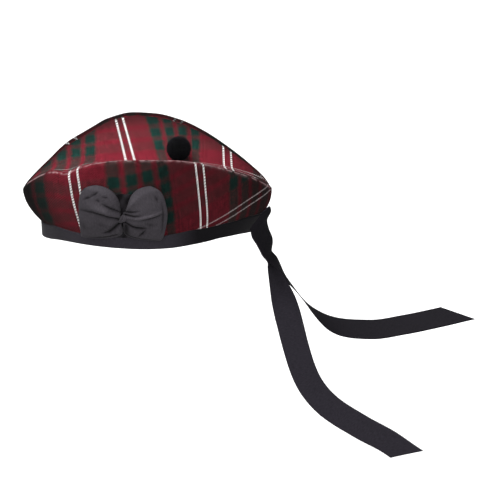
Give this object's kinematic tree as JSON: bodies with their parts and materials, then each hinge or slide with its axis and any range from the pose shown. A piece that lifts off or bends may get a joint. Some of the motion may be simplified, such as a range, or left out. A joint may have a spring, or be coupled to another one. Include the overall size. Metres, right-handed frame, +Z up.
{
  "type": "glengarry cap",
  "caption": "Boat-shaped tartan wool cap worn open on a head, with a dented crown, ribbon band, side bow, woollen toorie and ribbon tails.",
  "frame": {"origin": "centre of the head opening, level with the band's lowest edge at its sides", "axes": "+X towards the back of the cap, -Y towards the wearer's left, +Z up"},
  "size_m": [0.493, 0.1631, 0.4069],
  "materials": {
    "tartan_wool": "brushed wool twill in red, green and white tartan",
    "band_ribbon": "black ribbed ribbon binding",
    "cockade_ribbon": "charcoal ribbon, crinkled and pleated",
    "toorie_wool": "black clipped wool yarn",
    "tail_ribbon": "black ribbed ribbon with a soft sheen"
  },
  "bodies": {
    "root": {"side_left": "tartan_wool", "side_right": "tartan_wool", "crown": "tartan_wool", "band": "band_ribbon", "toorie": "toorie_wool", "cockade_back": "cockade_ribbon", "cockade_loop_front": "cockade_ribbon", "cockade_loop_rear": "cockade_ribbon", "cockade_knot": "cockade_ribbon", "tail_near": "tail_ribbon", "tail_far": "tail_ribbon"}
  },
  "joints": []
}
